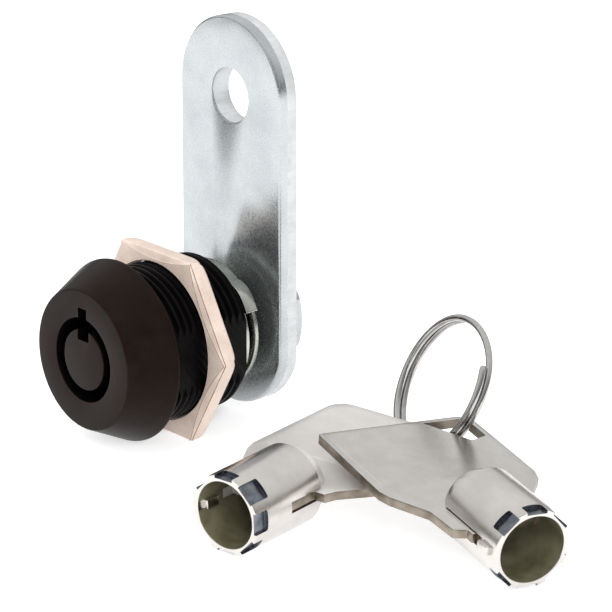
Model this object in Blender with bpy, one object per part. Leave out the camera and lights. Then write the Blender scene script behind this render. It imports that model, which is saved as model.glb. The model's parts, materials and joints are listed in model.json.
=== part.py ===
"""Cam lock with a seven-pin round key, and its two keys on a split ring.

The lock lies with its axis along Y, its black bezel towards -Y and its cam pointing up.
Lengths are millimetres times MM, so the model is in metres, +Z up, standing on z = 0.
"""
import math

import bmesh
import bpy
from mathutils import Matrix, Vector

MM = 0.001

# Where the lock's axis meets the back of the bezel, in the part's frame.
LOCK_X = -27.275 * MM
PANEL_Y = -5.167 * MM
AXIS_Z = 11.0 * MM

# Housing: a conical bezel, a threaded barrel with two flats, and a stepped bore.
BEZEL_R = 11.0 * MM
BEZEL_FACE_R = 8.45 * MM
BEZEL_Y = -5.7 * MM
BARREL_R = 9.35 * MM
BARREL_END = 12.2 * MM
BARREL_FLAT = 8.4 * MM
KEYWAY_R = 5.09 * MM
LIP_BACK = -3.7 * MM
BORE_R = 6.4 * MM
KEY_NOTCH_W = 1.6 * MM
KEY_NOTCH_R = 6.35 * MM

# Mounting nut.
NUT_FLATS = 22.0 * MM
NUT_CORNER_R = 12.45 * MM
NUT_BORE_R = 9.5 * MM
NUT_FRONT = 5.22 * MM
NUT_BACK = 7.33 * MM

# Rotor: the post in the keyway, the plate that holds the key pins, and the tail.
POST_R = 3.69 * MM
POST_FRONT = -5.62 * MM
POST_NOTCH_W = 2.1 * MM
POST_NOTCH_R = 2.3 * MM
PLATE_R = 6.2 * MM
PLATE_FRONT = -0.8 * MM
PLATE_BACK = 3.55 * MM
TAIL_R = 2.85 * MM
TAIL_FLAT = 2.25 * MM
TAIL_FLAT_START = 12.3 * MM
TAIL_END = 24.0 * MM

# Pin sleeve: fixed behind the rotor's plate, it holds the driver pins and springs.
SLEEVE_FRONT = 3.75 * MM
SLEEVE_BACK = 11.4 * MM
SLEEVE_BORE_R = 2.97 * MM
CHAMBER_END = 10.4 * MM
STOP_LUG_R = (4.7 * MM, 5.9 * MM)
STOP_LUG_ANGLES = (220.0, 240.0)
STOP_LUG_END = 13.25 * MM

# Pins: seven, 45 degrees apart, leaving 12 o'clock for the key's nib.
PIN_COUNT = 7
PIN_STEP = 45.0
PIN_CIRCLE_R = 4.43 * MM
PIN_R = 0.58 * MM
CHAMBER_R = 0.68 * MM
PIN_TIP_LOCKED = -3.3 * MM
DRIVER_LENGTH = 3.4 * MM
SHEAR_GAP = 0.05 * MM
KEY_CUTS = (2.0 * MM, 1.4 * MM, 2.7 * MM, 1.9 * MM, 1.6 * MM, 2.3 * MM, 1.7 * MM)
KEY_REACH = 4.0 * MM

# Springs behind the driver pins.
SPRING_TURNS = 5
SPRING_R = 0.42 * MM
SPRING_WIRE_R = 0.1 * MM

# Retaining pin, let into the barrel between two pin chambers.
RETAINER_R = 0.7 * MM
RETAINER_ANGLE = 157.5
RETAINER_Y = 9.4 * MM
RETAINER_REACH = (5.0 * MM, 8.6 * MM)

# Stack between the barrel and the cam.
STOP_PLATE_R = 7.9 * MM
STOP_PLATE_Y = (12.45 * MM, 13.15 * MM)
STOP_RIM_BACK = 14.2 * MM
STOP_RIM_R = (7.45 * MM, 8.2 * MM, 8.95 * MM)
STOP_RIM_ANGLES = (-62.0, 33.0, 65.0)
WAVE_R = (3.1 * MM, 6.4 * MM)
WAVE_MID = 13.85 * MM
WAVE_HEIGHT = 0.2 * MM
WAVE_THICK = 0.3 * MM
THRUST_R = (3.1 * MM, 7.3 * MM)
THRUST_Y = (14.45 * MM, 15.05 * MM)
SPACER_R = (3.1 * MM, 4.7 * MM)
SPACER_Y = (15.15 * MM, 16.68 * MM)

# Cam.
CAM_Y = (16.78 * MM, 19.53 * MM)
CAM_HALF_W = 9.04 * MM
CAM_TOP_Z = 28.4 * MM
CAM_FOOT_Z = -0.8 * MM
CAM_FOOT_R = 9.4 * MM
CAM_HOLE_Z = 27.9 * MM
CAM_HOLE_R = 3.3 * MM
CAM_BORE_CLEARANCE = 0.1 * MM

# Lock washer and nut on the tail.
LOCK_WASHER_R = (2.97 * MM, 5.4 * MM)
LOCK_WASHER_Y = (19.63 * MM, 20.4 * MM)
CAM_NUT_FLATS = 11.0 * MM
CAM_NUT_CORNER_R = 6.1 * MM
CAM_NUT_BORE_R = 2.97 * MM
CAM_NUT_Y = (20.5 * MM, 23.45 * MM)

# Keys. Each key's own frame has the tube's mouth at its origin, +Y towards the bow.
TUBE_R = 4.72 * MM
TUBE_BORE_R = 3.92 * MM
TUBE_LENGTH = 11.0 * MM
CUT_FLOOR_R = 4.2 * MM
CUT_WIDTH = 2.5 * MM
BOW_THICK = 1.1 * MM
SLIT_WIDTH = 1.44 * MM
BOW_HALF_W = 9.95 * MM
BOW_END = 31.6 * MM
BOW_CORNER_R = 2.2 * MM
LEFT_CORNER_R = {"key_1": 2.2 * MM, "key_2": 0.5 * MM}
BOW_FRONT = 6.0 * MM
COLLAR_R = 4.05 * MM
COLLAR_Y = (11.15 * MM, 12.7 * MM)
RING_SLOT = ((3.6, 30.9), (6.9, 25.3), (9.2, 26.0), (9.2, 30.2), (8.5, 30.9))

# Key poses: mouth centre in the lock's frame, then heading, rise and roll of the key's +Y.
KEY_POSES = {
    "key_1": ((36.15, -14.35, -6.42), (99.0, 3.15, 0.4), (8.0, 29.9)),
    "key_2": ((65.8, 3.9, -6.22), (166.9, 6.4, 3.3), (6.55, 28.3)),
}

# Split ring: two turns of wire side by side.
RING_CENTRE = (33.85, 20.15, 0.02)
RING_AXIS_HEADING = 73.8
RING_AXIS_RISE = -28.0
RING_R = 8.05 * MM
RING_WIRE_R = 0.4 * MM
RING_TURNS = 1.79
RING_START = 56
RING_PITCH = 0.88 * MM

MATERIALS = {
    "black_coat": ((0.045, 0.04, 0.038), 0.1, 0.4),
    "nickel": ((0.72, 0.62, 0.54), 1.0, 0.35),
    "zinc": ((0.75, 0.77, 0.79), 1.0, 0.35),
    "steel": ((0.6, 0.6, 0.58), 1.0, 0.3),
    "brass": ((0.75, 0.58, 0.3), 1.0, 0.3),
    "key_nickel": ((0.72, 0.7, 0.66), 1.0, 0.35),
    "spring_steel": ((0.5, 0.5, 0.5), 1.0, 0.35),
}


def clear_scene():
    """Removes the objects that the file starts with."""
    for obj in list(bpy.data.objects):
        bpy.data.objects.remove(obj, do_unlink=True)


def material(name):
    """Returns the Principled material of this name, making it the first time."""
    existing = bpy.data.materials.get(name)
    if existing:
        return existing
    colour, metallic, roughness = MATERIALS[name]
    made = bpy.data.materials.new(name)
    made.use_nodes = True
    shader = made.node_tree.nodes["Principled BSDF"]
    shader.inputs["Base Color"].default_value = (*colour, 1.0)
    shader.inputs["Metallic"].default_value = metallic
    shader.inputs["Roughness"].default_value = roughness
    return made


def empty(name, location, rotation=None, parent=None):
    """Adds an empty that marks an axis or a frame."""
    obj = bpy.data.objects.new(name, None)
    bpy.context.collection.objects.link(obj)
    obj.parent = parent
    turn = rotation.to_4x4() if rotation else Matrix.Identity(4)
    obj.matrix_local = Matrix.Translation(Vector(location)) @ turn
    return obj


def finish(bm, name, material_name, parent):
    """Turns a bmesh into a smooth-shaded object on its parent's axis."""
    bmesh.ops.remove_doubles(bm, verts=bm.verts, dist=1e-7)
    bmesh.ops.recalc_face_normals(bm, faces=bm.faces)
    mesh = bpy.data.meshes.new(name)
    bm.to_mesh(mesh)
    bm.free()
    mesh.shade_smooth()
    mesh.set_sharp_from_angle(angle=math.radians(35))
    obj = bpy.data.objects.new(name, mesh)
    bpy.context.collection.objects.link(obj)
    obj.parent = parent
    if material_name:
        mesh.materials.append(material(material_name))
    return obj


def add_turned(bm, profile, segments, axis_xz=(0.0, 0.0)):
    """Turns a closed (radius, y) profile around an axis parallel to Y."""
    rings = []
    for step in range(segments):
        angle = 2 * math.pi * (step + 0.5) / segments
        ring = []
        for radius, y in profile:
            x = axis_xz[0] + radius * math.sin(angle)
            z = axis_xz[1] + radius * math.cos(angle)
            ring.append(bm.verts.new((x, y, z)))
        rings.append(ring)
    count = len(profile)
    for step in range(segments):
        here = rings[step]
        there = rings[(step + 1) % segments]
        for i in range(count):
            j = (i + 1) % count
            if profile[i][0] == 0 and profile[j][0] == 0:
                continue
            if profile[i][0] == 0:
                bm.faces.new((here[i], here[j], there[j]))
            elif profile[j][0] == 0:
                bm.faces.new((here[i], here[j], there[i]))
            else:
                bm.faces.new((here[i], here[j], there[j], there[i]))


def turned(name, profile, segments, material_name, parent, axis_xz=(0.0, 0.0)):
    """Makes one turned object from a closed (radius, y) profile."""
    bm = bmesh.new()
    add_turned(bm, profile, segments, axis_xz)
    return finish(bm, name, material_name, parent)


def ring(name, radii, y_range, segments, material_name, parent):
    """Makes a plain ring: a washer, a collar or a sleeve."""
    inner, outer = radii
    start, end = y_range
    profile = ((inner, start), (outer, start), (outer, end), (inner, end))
    return turned(name, profile, segments, material_name, parent)


def rod(name, radius, y_range, segments, material_name, parent, axis_xz=(0.0, 0.0)):
    """Makes a plain cylinder along Y."""
    start, end = y_range
    profile = ((0, start), (radius, start), (radius, end), (0, end))
    return turned(name, profile, segments, material_name, parent, axis_xz)


def prism(name, outline, span, material_name, parent, along="Y"):
    """Extrudes a closed outline, in XZ along Y or in XY along Z."""
    bm = bmesh.new()
    ends = []
    for level in span:
        verts = []
        for a, b in outline:
            verts.append(bm.verts.new((a, level, b) if along == "Y" else (a, b, level)))
        ends.append(verts)
        bm.faces.new(verts)
    count = len(outline)
    for i in range(count):
        j = (i + 1) % count
        bm.faces.new((ends[0][i], ends[0][j], ends[1][j], ends[1][i]))
    return finish(bm, name, material_name, parent)


def box(name, low, high, parent):
    """Makes a box between two corners, in the parent's frame."""
    outline = ((low[0], low[2]), (high[0], low[2]), (high[0], high[2]), (low[0], high[2]))
    return prism(name, outline, (low[1], high[1]), None, parent)


def arc(centre, radius, start, end, steps):
    """Points on an arc, by clock angles in degrees: 0 is up and 90 is to +X."""
    points = []
    for i in range(steps + 1):
        angle = math.radians(start + (end - start) * i / steps)
        points.append((centre[0] + radius * math.sin(angle), centre[1] + radius * math.cos(angle)))
    return points


def sector(name, radii, angles, y_range, steps, material_name, parent):
    """Makes a curved bar between two radii and two clock angles."""
    outer = arc((0, 0), radii[1], angles[0], angles[1], steps)
    inner = arc((0, 0), radii[0], angles[1], angles[0], steps)
    return prism(name, outer + inner, y_range, material_name, parent)


def combine(target, tools, operation):
    """Joins the tools to the target, or cuts them from it, and removes them."""
    for tool in tools:
        modifier = target.modifiers.new(tool.name, "BOOLEAN")
        modifier.object = tool
        modifier.operation = operation
        modifier.solver = "EXACT"
    bpy.context.view_layer.update()
    evaluated = target.evaluated_get(bpy.context.evaluated_depsgraph_get())
    mesh = bpy.data.meshes.new_from_object(evaluated)
    mesh.name = target.name
    mesh.shade_smooth()
    mesh.set_sharp_from_angle(angle=math.radians(35))
    target.modifiers.clear()
    target.data = mesh
    for tool in tools:
        bpy.data.objects.remove(tool, do_unlink=True)


def clock_xz(angle, radius):
    """The X and Z of a point at this clock angle and radius."""
    turn = math.radians(angle)
    return radius * math.sin(turn), radius * math.cos(turn)


def pin_places():
    """Clock angle and X, Z of each pin, from the first one past 12 o'clock."""
    places = []
    for i in range(PIN_COUNT):
        angle = PIN_STEP * (i + 1)
        places.append((i, clock_xz(angle, PIN_CIRCLE_R)))
    return places


def retainer_matrix():
    """Turns a rod along Y so that it lies along the retaining pin's radius."""
    x, z = clock_xz(RETAINER_ANGLE, 1.0)
    outward = Vector((x, 0, z))
    return outward.to_track_quat("Y", "Z").to_matrix().to_4x4()


def radial_rod(name, radius, reach, segments, material_name, parent):
    """Makes a rod along the retaining pin's radius."""
    obj = rod(name, radius, reach, segments, material_name, parent)
    obj.data.transform(Matrix.Translation((0, RETAINER_Y, 0)) @ retainer_matrix())
    return obj


def hexagon(flats, phase=0.0):
    """Corners of a hexagon: flats at top and bottom at phase 0, at the sides at phase 30."""
    corner = flats / math.sqrt(3)
    return [clock_xz(30 + 60 * i + phase, corner) for i in range(6)]


def nut(name, flats, corner_r, bore_r, y_range, chamfer, material_name, parent, segments, phase=0.0):
    """Makes a hexagon nut with turned-off corners and a plain bore."""
    start, end = y_range
    body = prism(name, hexagon(flats, phase), y_range, material_name, parent)
    trim = turned(
        name + "_corners",
        (
            (0, start),
            (corner_r - chamfer, start),
            (corner_r, start + chamfer * 0.6),
            (corner_r, end - chamfer * 0.6),
            (corner_r - chamfer, end),
            (0, end),
        ),
        segments,
        None,
        parent,
    )
    hole = rod(name + "_bore", bore_r, (start - MM, end + MM), segments, None, parent)
    combine(body, [trim], "INTERSECT")
    combine(body, [hole], "DIFFERENCE")
    return body


def build_housing(lock):
    """The bezel and threaded barrel, one zinc casting with a black coat."""
    land = 0.25 * MM
    edge = 0.2 * MM
    profile = (
        (KEYWAY_R, BEZEL_Y),
        (BEZEL_FACE_R - edge, BEZEL_Y),
        (BEZEL_FACE_R + edge / 2, BEZEL_Y + edge),
        (BEZEL_R, -land),
        (BEZEL_R, 0),
        (BARREL_R, 0),
        (BARREL_R, BARREL_END - land),
        (BARREL_R - land, BARREL_END),
        (BORE_R, BARREL_END),
        (BORE_R, LIP_BACK),
        (KEYWAY_R, LIP_BACK),
    )
    housing = turned("housing", profile, 64, "black_coat", lock)
    half = KEY_NOTCH_W / 2
    cutters = [
        box("nib_notch", (-half, BEZEL_Y - MM, 4.5 * MM), (half, LIP_BACK + MM / 2, KEY_NOTCH_R), lock),
        radial_rod("retainer_hole", RETAINER_R + 0.1 * MM, (6 * MM, 11 * MM), 16, None, lock),
    ]
    for side in (-1, 1):
        low_x, high_x = sorted((side * BARREL_FLAT, side * 12 * MM))
        low = (low_x, 0.6 * MM, -12 * MM)
        high = (high_x, BARREL_END + MM, 12 * MM)
        cutters.append(box(f"barrel_flat_{side}", low, high, lock))
    combine(housing, cutters, "DIFFERENCE")


def build_rotor(turn):
    """The post, pin plate and tail that turn with the key."""
    chamfer = 0.3 * MM
    profile = (
        (0, POST_FRONT),
        (POST_R - chamfer / 3, POST_FRONT),
        (POST_R, POST_FRONT + chamfer / 3),
        (POST_R, PLATE_FRONT),
        (PLATE_R, PLATE_FRONT),
        (PLATE_R, PLATE_BACK),
        (TAIL_R, PLATE_BACK),
        (TAIL_R, TAIL_END - chamfer),
        (TAIL_R - chamfer, TAIL_END),
        (0, TAIL_END),
    )
    rotor = turned("rotor", profile, 48, "black_coat", turn)
    half = POST_NOTCH_W / 2
    low = (-half, POST_FRONT - MM, POST_NOTCH_R)
    high = (half, PLATE_FRONT - 0.1 * MM, POST_R + MM)
    cutters = [box("post_notch", low, high, turn)]
    for side in (-1, 1):
        low_x, high_x = sorted((side * TAIL_FLAT, side * 4 * MM))
        low = (low_x, TAIL_FLAT_START, -4 * MM)
        high = (high_x, TAIL_END + MM, 4 * MM)
        cutters.append(box(f"tail_flat_{side}", low, high, turn))
    for i, place in pin_places():
        reach = (PLATE_FRONT - 0.3 * MM, PLATE_BACK + 0.3 * MM)
        cutters.append(rod(f"plate_hole_{i}", CHAMBER_R, reach, 12, None, turn, place))
    combine(rotor, cutters, "DIFFERENCE")


def build_pin_sleeve(lock):
    """The fixed sleeve with seven blind chambers and the stop lug."""
    sleeve = ring("pin_sleeve", (SLEEVE_BORE_R, PLATE_R), (SLEEVE_FRONT, SLEEVE_BACK), 48, "brass", lock)
    lug_span = (SLEEVE_BACK - MM, STOP_LUG_END)
    lug = sector("stop_lug", STOP_LUG_R, STOP_LUG_ANGLES, lug_span, 4, None, lock)
    combine(sleeve, [lug], "UNION")
    reach = (RETAINER_REACH[0] - 0.15 * MM, 8 * MM)
    cutters = [radial_rod("sleeve_hole", RETAINER_R + 0.1 * MM, reach, 16, None, lock)]
    for i, place in pin_places():
        span = (SLEEVE_FRONT - MM, CHAMBER_END)
        cutters.append(rod(f"chamber_{i}", CHAMBER_R, span, 12, None, lock, place))
    combine(sleeve, cutters, "DIFFERENCE")
    radial_rod("retaining_pin", RETAINER_R, RETAINER_REACH, 16, "steel", lock)


def coil_points(start_y, end_y, centre):
    """Points along one pin spring, eight to a turn."""
    steps = SPRING_TURNS * 8
    points = []
    for i in range(steps + 1):
        part = i / steps
        x, z = clock_xz(360 * SPRING_TURNS * part, SPRING_R)
        points.append((centre[0] + x, start_y + (end_y - start_y) * part, centre[1] + z))
    return points


def wire(name, points, radius, resolution, material_name, parent):
    """Makes a round wire through these points, with closed ends."""
    curve = bpy.data.curves.new(name, "CURVE")
    curve.dimensions = "3D"
    curve.bevel_depth = radius
    curve.bevel_resolution = resolution
    curve.use_fill_caps = True
    curve.render_resolution_u = 0
    spline = curve.splines.new("POLY")
    spline.points.add(len(points) - 1)
    for point, place in zip(spline.points, points):
        point.co = (*place, 1.0)
    curve.materials.append(material(material_name))
    obj = bpy.data.objects.new(name, curve)
    bpy.context.collection.objects.link(obj)
    obj.parent = parent
    return obj


def build_pins(lock, turn):
    """Key pins in the rotor, driver pins and springs in the sleeve, at the shear line."""
    for i, place in pin_places():
        number = i + 1
        key_pin_tip = PIN_TIP_LOCKED + KEY_REACH - KEY_CUTS[i]
        key_span = (key_pin_tip, PLATE_BACK + SHEAR_GAP)
        rod(f"key_pin_{number}", PIN_R, key_span, 12, "brass", turn, place)
        driver_start = SLEEVE_FRONT + SHEAR_GAP
        driver_end = driver_start + DRIVER_LENGTH
        rod(f"driver_pin_{number}", PIN_R, (driver_start, driver_end), 12, "steel", lock, place)
        clear = SPRING_WIRE_R + 0.1 * MM
        points = coil_points(driver_end + clear, CHAMBER_END - clear, place)
        wire(f"pin_spring_{number}", points, SPRING_WIRE_R, 0, "spring_steel", lock)


def double_d(name, y_range, turn):
    """A cutter for the double-D hole that fits over the tail."""
    radius = TAIL_R + CAM_BORE_CLEARANCE
    half = TAIL_FLAT + CAM_BORE_CLEARANCE
    split = math.degrees(math.asin(half / radius))
    outline = arc((0, 0), radius, -split, split, 12)
    outline += arc((0, 0), radius, 180 - split, 180 + split, 12)
    return prism(name, outline, (y_range[0] - MM, y_range[1] + MM), None, turn)


def build_stop_plate(turn):
    """The plate whose slot runs on the sleeve's lug, and its raised rim."""
    plate = rod("stop_plate", STOP_PLATE_R, STOP_PLATE_Y, 48, "zinc", turn)
    inner, low, high = STOP_RIM_R
    start, step, end = STOP_RIM_ANGLES
    rim_y = (STOP_PLATE_Y[0], STOP_RIM_BACK)
    rim = sector("stop_rim_low", (inner, low), (start, step + 1), rim_y, 20, None, turn)
    ear = sector("stop_rim_high", (inner - 0.02 * MM, high), (step, end), rim_y, 8, None, turn)
    combine(plate, [rim, ear], "UNION")
    margin = 3.0
    slot = sector(
        "stop_slot",
        (STOP_LUG_R[0] - 0.2 * MM, STOP_LUG_R[1] + 0.2 * MM),
        (STOP_LUG_ANGLES[0] - margin, STOP_LUG_ANGLES[1] + 90 + margin),
        (STOP_PLATE_Y[0] - MM, STOP_PLATE_Y[1] + MM),
        16,
        None,
        turn,
    )
    combine(plate, [slot, double_d("stop_plate_bore", STOP_PLATE_Y, turn)], "DIFFERENCE")


def build_wave_washer(turn):
    """A thin spring washer with three waves."""
    segments = 48
    bm = bmesh.new()
    rings = []
    for step in range(segments):
        angle = 360 * step / segments
        rise = WAVE_HEIGHT * math.sin(math.radians(3 * angle))
        section = []
        for radius, offset in (
            (WAVE_R[0], -WAVE_THICK / 2),
            (WAVE_R[1], -WAVE_THICK / 2),
            (WAVE_R[1], WAVE_THICK / 2),
            (WAVE_R[0], WAVE_THICK / 2),
        ):
            x, z = clock_xz(angle, radius)
            section.append(bm.verts.new((x, WAVE_MID + rise + offset, z)))
        rings.append(section)
    for step in range(segments):
        here = rings[step]
        there = rings[(step + 1) % segments]
        for i in range(4):
            j = (i + 1) % 4
            bm.faces.new((here[i], here[j], there[j], there[i]))
    finish(bm, "wave_washer", "spring_steel", turn)


def build_cam(turn):
    """The flat steel cam with a round head, a round foot and a rod hole."""
    foot_half = math.degrees(math.asin(CAM_HALF_W / CAM_FOOT_R))
    outline = arc((0, CAM_TOP_Z), CAM_HALF_W, -90, 90, 24)
    outline += arc((0, CAM_FOOT_Z), CAM_FOOT_R, 180 - foot_half, 180 + foot_half, 20)
    cam = prism("cam", outline, CAM_Y, "zinc", turn)
    past = (CAM_Y[0] - MM, CAM_Y[1] + MM)
    hole = rod("cam_hole", CAM_HOLE_R, past, 32, None, turn, (0, CAM_HOLE_Z))
    combine(cam, [hole, double_d("cam_bore", CAM_Y, turn)], "DIFFERENCE")


def build_lock_washer(turn):
    """A split spring washer under the cam nut."""
    washer = ring("lock_washer", LOCK_WASHER_R, LOCK_WASHER_Y, 36, "steel", turn)
    half = 0.4 * MM
    low = (-half, LOCK_WASHER_Y[0] - MM, -7 * MM)
    high = (half, LOCK_WASHER_Y[1] + MM, -2 * MM)
    combine(washer, [box("washer_split", low, high, turn)], "DIFFERENCE")


def build_lock(lock, turn):
    """Everything on the lock's axis, from the bezel to the cam nut."""
    build_housing(lock)
    nut_span = (NUT_FRONT, NUT_BACK)
    nut("mounting_nut", NUT_FLATS, NUT_CORNER_R, NUT_BORE_R, nut_span, 0.3 * MM, "nickel", lock, 64)
    build_rotor(turn)
    build_pin_sleeve(lock)
    build_pins(lock, turn)
    build_stop_plate(turn)
    build_wave_washer(turn)
    ring("thrust_washer", THRUST_R, THRUST_Y, 48, "zinc", turn)
    ring("cam_spacer", SPACER_R, SPACER_Y, 36, "black_coat", turn)
    build_cam(turn)
    build_lock_washer(turn)
    nut("cam_nut", CAM_NUT_FLATS, CAM_NUT_CORNER_R, CAM_NUT_BORE_R, CAM_NUT_Y, 0.5 * MM, "zinc", turn, 48, 30.0)


def build_tube(name, frame):
    """A key's tube: seven cuts in its mouth, a nib, and slits for the bow."""
    tube = ring(name + "_tube", (TUBE_BORE_R, TUBE_R), (0, TUBE_LENGTH), 48, "key_nickel", frame)
    nib_low = (-5.3 * MM, 1.0 * MM, -0.55 * MM)
    nib_high = (-3.3 * MM, 2.9 * MM, 0.55 * MM)
    combine(tube, [box(name + "_nib", nib_low, nib_high, frame)], "UNION")
    half = SLIT_WIDTH / 2
    past = TUBE_LENGTH + MM
    cutters = [
        box(name + "_slit_left", (-5.5 * MM, 3.0 * MM, -half), (-3 * MM, past, half), frame),
        box(name + "_slit_right", (3 * MM, BOW_FRONT - 0.1 * MM, -half), (5.5 * MM, past, half), frame),
    ]
    for i, depth in enumerate(KEY_CUTS):
        cut = box(
            f"{name}_cut_{i}",
            (-CUT_WIDTH / 2, -MM, CUT_FLOOR_R),
            (CUT_WIDTH / 2, depth, 6 * MM),
            frame,
        )
        angle = math.radians(PIN_STEP * (i + 1) - 90)
        cut.data.transform(Matrix.Rotation(angle, 4, "Y"))
        cutters.append(cut)
    combine(tube, cutters, "DIFFERENCE")
    return tube


def bow_outline(left_r):
    """The bow's edge, from its front inside the tube round the grip and back."""
    right_front = [(4.5, 6.0), (4.5, 9.9), (6.0, 9.9), (6.5, 11.3), (9.4, 14.6), (9.95, 16.4)]
    left_front = [(-9.95, 16.4), (-9.5, 14.8), (-6.9, 10.4), (-6.6, 5.8), (-5.1, 5.3), (-5.1, 4.2), (-4.0, 4.2), (-4.0, 6.0)]
    right_centre = (BOW_HALF_W - BOW_CORNER_R, BOW_END - BOW_CORNER_R)
    left_centre = (left_r - BOW_HALF_W, BOW_END - left_r)
    outline = [(x * MM, y * MM) for x, y in right_front]
    outline += [(x, y) for x, y in reversed(arc(right_centre, BOW_CORNER_R, 0, 90, 6))]
    outline += [(x, y) for x, y in reversed(arc(left_centre, left_r, -90, 0, 6))]
    outline += [(x * MM, y * MM) for x, y in left_front]
    return outline


def build_bow(name, frame):
    """A key's flat bow, with the slot for the ring and a collar behind the tube."""
    half = BOW_THICK / 2
    bow = prism(name + "_bow", bow_outline(LEFT_CORNER_R[name]), (-half, half), "key_nickel", frame, along="Z")
    collar = rod(name + "_collar", COLLAR_R, COLLAR_Y, 32, None, frame)
    combine(bow, [collar], "UNION")
    slot_points = [(x * MM, y * MM) for x, y in RING_SLOT]
    slot = prism(name + "_slot", slot_points, (-2 * MM, 2 * MM), None, frame, along="Z")
    combine(bow, [slot], "DIFFERENCE")
    return bow


def build_keys(lock):
    """Both keys, each hung from an empty at its pivot on the ring."""
    for name, (mouth, (heading, rise, roll), pivot) in KEY_POSES.items():
        turn = Matrix.Rotation(math.radians(heading - 90), 3, "Z")
        turn = turn @ Matrix.Rotation(math.radians(rise), 3, "X")
        turn = turn @ Matrix.Rotation(math.radians(roll), 3, "Y")
        pivot_local = Vector((pivot[0], pivot[1], 0)) * MM
        place = Vector(mouth) * MM + turn @ pivot_local
        frame = empty(name + "_pivot", place, turn, lock)
        for piece in (build_tube(name, frame), build_bow(name, frame)):
            piece.data.transform(Matrix.Translation(-pivot_local))


def build_ring(lock):
    """The split ring, through both keys' slots."""
    heading = math.radians(RING_AXIS_HEADING)
    rise = math.radians(RING_AXIS_RISE)
    axis = Vector((math.cos(heading) * math.cos(rise), math.sin(heading) * math.cos(rise), math.sin(rise)))
    turn = axis.to_track_quat("Y", "Z").to_matrix()
    frame = empty("ring_frame", Vector(RING_CENTRE) * MM, turn, lock)
    steps = 76
    points = []
    for i in range(steps + 1):
        part = i / steps
        x, z = clock_xz(RING_START + 360 * RING_TURNS * part, RING_R)
        points.append((x, RING_PITCH * RING_TURNS * (part - 0.5), z))
    wire("split_ring", points, RING_WIRE_R, 1, "steel", frame)


def main():
    """Builds the lock and its keys."""
    clear_scene()
    lock = empty("lock_axis", (LOCK_X, PANEL_Y, AXIS_Z))
    turn = empty("turn_axis", (0, 0, 0), parent=lock)
    build_lock(lock, turn)
    build_keys(lock)
    build_ring(lock)


main()
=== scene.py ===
import json
import math

import bmesh
import bpy
from mathutils import Matrix, Vector


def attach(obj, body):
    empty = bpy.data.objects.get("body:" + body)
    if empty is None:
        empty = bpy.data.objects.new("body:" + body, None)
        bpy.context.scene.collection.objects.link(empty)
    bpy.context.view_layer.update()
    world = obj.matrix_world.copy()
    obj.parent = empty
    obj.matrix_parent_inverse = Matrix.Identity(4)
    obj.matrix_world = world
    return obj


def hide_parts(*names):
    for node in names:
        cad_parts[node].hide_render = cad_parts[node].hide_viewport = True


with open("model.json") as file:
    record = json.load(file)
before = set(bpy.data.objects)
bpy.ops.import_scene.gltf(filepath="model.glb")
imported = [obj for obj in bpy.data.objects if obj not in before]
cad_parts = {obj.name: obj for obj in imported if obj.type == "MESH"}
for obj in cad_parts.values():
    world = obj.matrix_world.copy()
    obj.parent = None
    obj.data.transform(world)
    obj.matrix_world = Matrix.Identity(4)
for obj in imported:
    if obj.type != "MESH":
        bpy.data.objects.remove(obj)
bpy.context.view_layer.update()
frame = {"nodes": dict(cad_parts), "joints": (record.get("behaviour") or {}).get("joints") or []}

MM = 0.001
JOINTS = {joint["name"]: joint for joint in frame["joints"]}
LOCK = Vector(JOINTS["rotor_turn"]["pos_m"])

# Camera: heading and drop of its view in degrees, and its place from the lock's axis at the panel.
VIEW_HEADING = 49.155
VIEW_DROP = 18.664
CAMERA_FROM_LOCK = Vector((362.69, -284.86, 161.01)) * MM
LENS = 244.45

# Housing. Lengths are in millimetres: radii from the lock's axis, and Y back from the panel's face.
KEYWAY_R = 5.09
KEYWAY_NOTCH_HALF_W = 0.8
KEYWAY_NOTCH_TOP = 6.35
BEZEL_FACE_R = 8.45
BEZEL_Y = -5.7
BEZEL_R = 10.98
BEZEL_RIM = 0.32
BARREL_NECK_R = 9.2
LIP_BACK = -3.7
BORE_R = 6.4
BARREL_END = 12.2
BARREL_FLAT = 8.4
BARREL_FLAT_START = 0.6

# Threads: ends_low is for one that fades into its root, and not into a bar of its own radius.
BARREL_THREAD = {"crest_r": 9.42, "depth": 0.5, "pitch": 1.0,
                 "fade_in": 0.9, "fade_out": 0.5, "ends_low": True}
TAIL_THREAD = {"crest_r": 2.85, "depth": 0.32, "pitch": 0.8,
               "fade_in": 0.4, "fade_out": 0.5, "ends_low": False}
TAIL_THREAD_START = 16.6

# Mounting nut: its pressed facets cut in by the first bite at a corner, and by both at mid side.
# The crease where they end has painted shade on two of the sides, along two strips of the section.
NUT_APOTHEM = 11.0
NUT_FRONT = 5.22
NUT_BACK = 7.33
NUT_BORE_R = 9.52
NUT_BITES = (0.12, 0.85)
NUT_STEPS = 24
SHADED_CREASE_STRIPS = (2, 4)
SHADED_CREASE_SIDES = (1, 2)

# Rotor.
POST_R = 3.69
POST_FRONT = -5.6
POST_NOTCH_HALF_W = 1.05
POST_NOTCH_FLOOR = 2.3
PLATE_R = 6.2
PLATE_SPAN = (-0.8, 3.55)
PIN_CIRCLE_R = 4.43
PIN_HOLE_R = 0.68
TAIL_R = TAIL_THREAD["crest_r"]
TAIL_FLAT = 2.25
TAIL_FLAT_START = 12.3
TAIL_BARE_START = 11.5
TAIL_END = 24.0

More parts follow.
